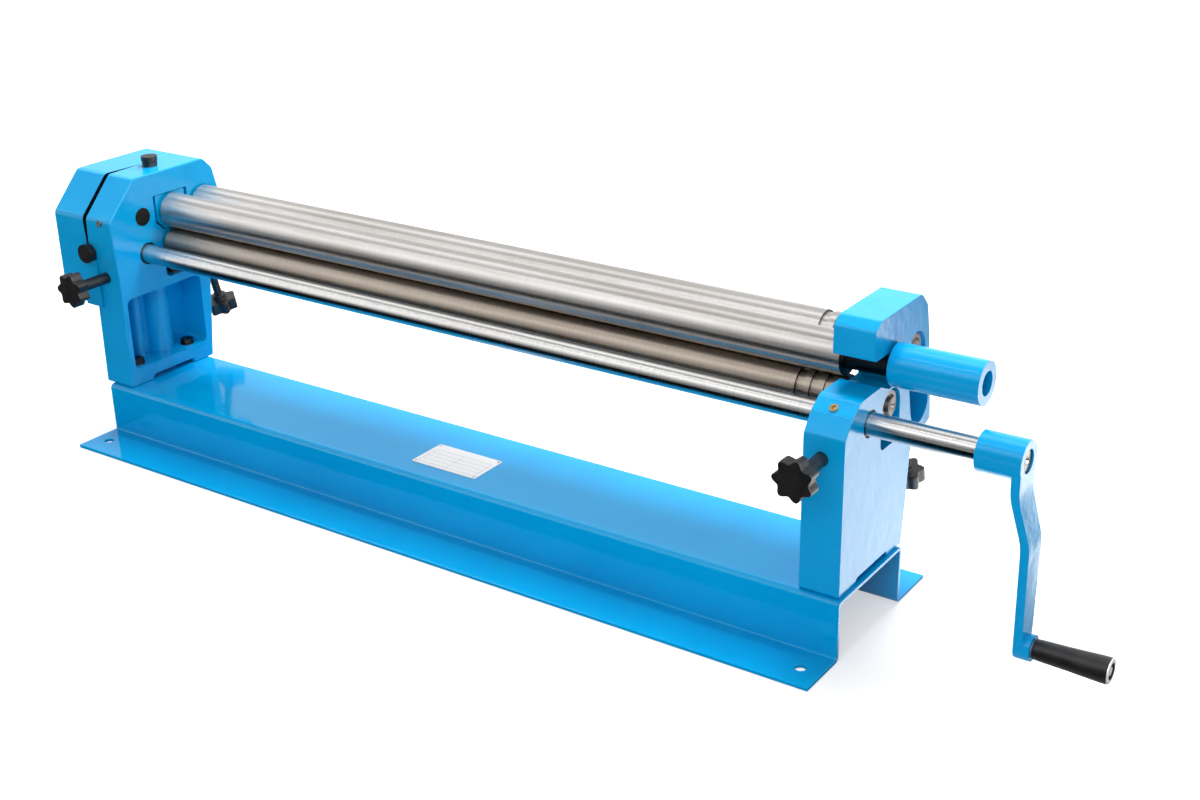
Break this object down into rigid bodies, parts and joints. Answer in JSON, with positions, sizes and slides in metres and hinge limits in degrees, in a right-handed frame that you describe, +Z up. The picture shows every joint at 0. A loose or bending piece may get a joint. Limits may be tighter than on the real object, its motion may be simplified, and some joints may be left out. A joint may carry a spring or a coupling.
{
  "type": "plate rolling machine",
  "caption": "Hand-cranked slip roll for sheet metal: folded base, gear housing and stand, three forming rolls, wedge and screw adjusters, and an upper roll that swings out.",
  "frame": {"origin": "centre of the four mounting holes, on the underside of the base flanges", "axes": "+X along the rolls to the crank, +Y to the rear roll's side, +Z up"},
  "size_m": [1.5484, 0.314, 0.3925],
  "materials": {
    "blue_paint": "gloss",
    "roll_steel": "turned, satin",
    "worn_roll_steel": "turned, oiled",
    "bearing_steel": "ground",
    "black_steel": "black oxide",
    "gear_steel": "machined",
    "bronze": "machined",
    "brass": "polished",
    "black_plastic": "satin",
    "plate_silver": "satin"
  },
  "bodies": {
    "frame": {"base_channel": "blue_paint", "gear_housing": "blue_paint", "gear_cover": "blue_paint", "right_stand": "blue_paint", "cover_screws": "black_steel", "casting_bolts": "black_steel", "casting_washers": "bearing_steel", "casting_nuts": "black_steel", "rating_plate": "plate_silver", "plate_rivets": "bearing_steel", "housing_oiler": "bearing_steel", "stand_oiler": "brass", "grease_plug": "black_plastic", "idler_axle": "black_steel", "idler_ring": "black_steel", "shaft_bush_left": "bronze", "shaft_bush_right": "bronze", "swivel_pin": "black_plastic"},
    "crank": {"drive_shaft": "roll_steel", "drive_pinion": "gear_steel", "pinion_key": "bearing_steel", "pinion_ring": "black_steel", "crank_arm": "blue_paint", "crank_key": "bearing_steel", "crank_screw": "black_steel", "grip_spindle": "bearing_steel", "grip_ring": "bearing_steel"},
    "grip": {"crank_grip": "black_plastic"},
    "idler": {"idler_gear": "gear_steel", "idler_bush": "bronze"},
    "swivel": {"swivel_block": "blue_paint", "swivel_bush": "bronze"},
    "top_roll": {"upper_roll": "roll_steel", "upper_gear": "gear_steel", "upper_key": "bearing_steel", "upper_ring": "black_steel", "journal_collar": "black_steel", "roll_handle": "blue_paint", "handle_screw": "black_steel"},
    "low_slides": {"lower_block_left": "blue_paint", "lower_block_right": "blue_paint", "lower_cups": "bearing_steel"},
    "low_cages": {"lower_cages": "bronze"},
    "low_roll": {"lower_roll": "worn_roll_steel", "lower_gear": "gear_steel", "lower_key": "bearing_steel", "lower_ring": "black_steel"},
    "back_slides": {"rear_block_left": "blue_paint", "rear_block_right": "blue_paint", "rear_cups": "bearing_steel", "rear_cages": "bronze"},
    "back_roll": {"rear_roll": "roll_steel"},
    "left_wedge": {"front_wedge_left": "black_steel"},
    "right_wedge": {"front_wedge_right": "black_steel"},
    "left_front_knob": {"front_knob_left": "black_plastic"},
    "right_front_knob": {"front_knob_right": "black_plastic"},
    "left_rear_knob": {"rear_knob_left": "black_plastic"},
    "right_rear_knob": {"rear_knob_right": "black_plastic"}
  },
  "joints": [
    {"name": "crank_turn", "type": "hinge", "parent": "frame", "child": "crank", "pos_m": [0.6, -0.01288, 0.26501], "axis": [1, 0, 0], "continuous": true},
    {"name": "grip_spin", "type": "hinge", "parent": "crank", "child": "grip", "pos_m": [0.836, -0.01288, 0.05001], "axis": [1, 0, 0], "continuous": true},
    {"name": "idler_spin", "type": "hinge", "parent": "frame", "child": "idler", "pos_m": [-0.643, -0.01541, 0.32015], "axis": [1, 0, 0], "continuous": true},
    {"name": "upper_roll_swing", "type": "hinge", "parent": "frame", "child": "swivel", "pos_m": [-0.588, 0.0385, 0.318], "axis": [0, 0, -1], "range_deg": [0, 7]},
    {"name": "upper_roll_spin", "type": "hinge", "parent": "swivel", "child": "top_roll", "pos_m": [0, 0.0385, 0.318], "axis": [1, 0, 0], "continuous": true},
    {"name": "lower_roll_drop", "type": "slide", "parent": "frame", "child": "low_slides", "axis": [0, 0, -1], "range_m": [0, 0.0035]},
    {"name": "lower_cage_roll", "type": "hinge", "parent": "low_slides", "child": "low_cages", "pos_m": [0, 0.0385, 0.2677], "axis": [-1, 0, 0], "range_deg": [0, 8.01]},
    {"name": "lower_roll_spin", "type": "hinge", "parent": "low_cages", "child": "low_roll", "pos_m": [0, 0.0385, 0.2677], "axis": [1, 0, 0], "continuous": true},
    {"name": "rear_roll_drop", "type": "slide", "parent": "frame", "child": "back_slides", "axis": [0, 0.225, -0.9744], "range_m": [0, 0.027]},
    {"name": "rear_roll_spin", "type": "hinge", "parent": "back_slides", "child": "back_roll", "pos_m": [0, 0.098, 0.315], "axis": [1, 0, 0], "continuous": true},
    {"name": "left_wedge_slide", "type": "slide", "parent": "frame", "child": "left_wedge", "axis": [0, -1, 0], "range_m": [0, 0.0105]},
    {"name": "right_wedge_slide", "type": "slide", "parent": "frame", "child": "right_wedge", "axis": [0, -1, 0], "range_m": [0, 0.0105]},
    {"name": "left_front_knob_turn", "type": "hinge", "parent": "left_wedge", "child": "left_front_knob", "pos_m": [-0.58, -0.12, 0.24], "axis": [0, -1, 0], "range_deg": [0, 1260]},
    {"name": "right_front_knob_turn", "type": "hinge", "parent": "right_wedge", "child": "right_front_knob", "pos_m": [0.5635, -0.12, 0.24], "axis": [0, -1, 0], "range_deg": [0, 1260]},
    {"name": "left_rear_knob_turn", "type": "hinge", "parent": "back_slides", "child": "left_rear_knob", "pos_m": [-0.5835, 0.098, 0.315], "axis": [0, 0.225, -0.9744], "range_deg": [0, 3240]},
    {"name": "right_rear_knob_turn", "type": "hinge", "parent": "back_slides", "child": "right_rear_knob", "pos_m": [0.566, 0.098, 0.315], "axis": [0, 0.225, -0.9744], "range_deg": [0, 3240]}
  ],
  "couplings": [
    {"joint": "idler_spin", "follows": "crank_turn", "ratio": -0.91304},
    {"joint": "upper_roll_spin", "follows": "crank_turn", "ratio": 1.05},
    {"joint": "lower_roll_spin", "follows": "crank_turn", "ratio": -1.05},
    {"joint": "lower_cage_roll", "follows": "lower_roll_drop", "rad_per_m": 39.87},
    {"joint": "left_wedge_slide", "follows": "lower_roll_drop", "ratio": 3},
    {"joint": "right_wedge_slide", "follows": "lower_roll_drop", "ratio": 3},
    {"joint": "left_front_knob_turn", "follows": "lower_roll_drop", "rad_per_m": 6283.2},
    {"joint": "right_front_knob_turn", "follows": "lower_roll_drop", "rad_per_m": 6283.2},
    {"joint": "left_rear_knob_turn", "follows": "rear_roll_drop", "rad_per_m": 2094.4},
    {"joint": "right_rear_knob_turn", "follows": "rear_roll_drop", "rad_per_m": 2094.4}
  ]
}
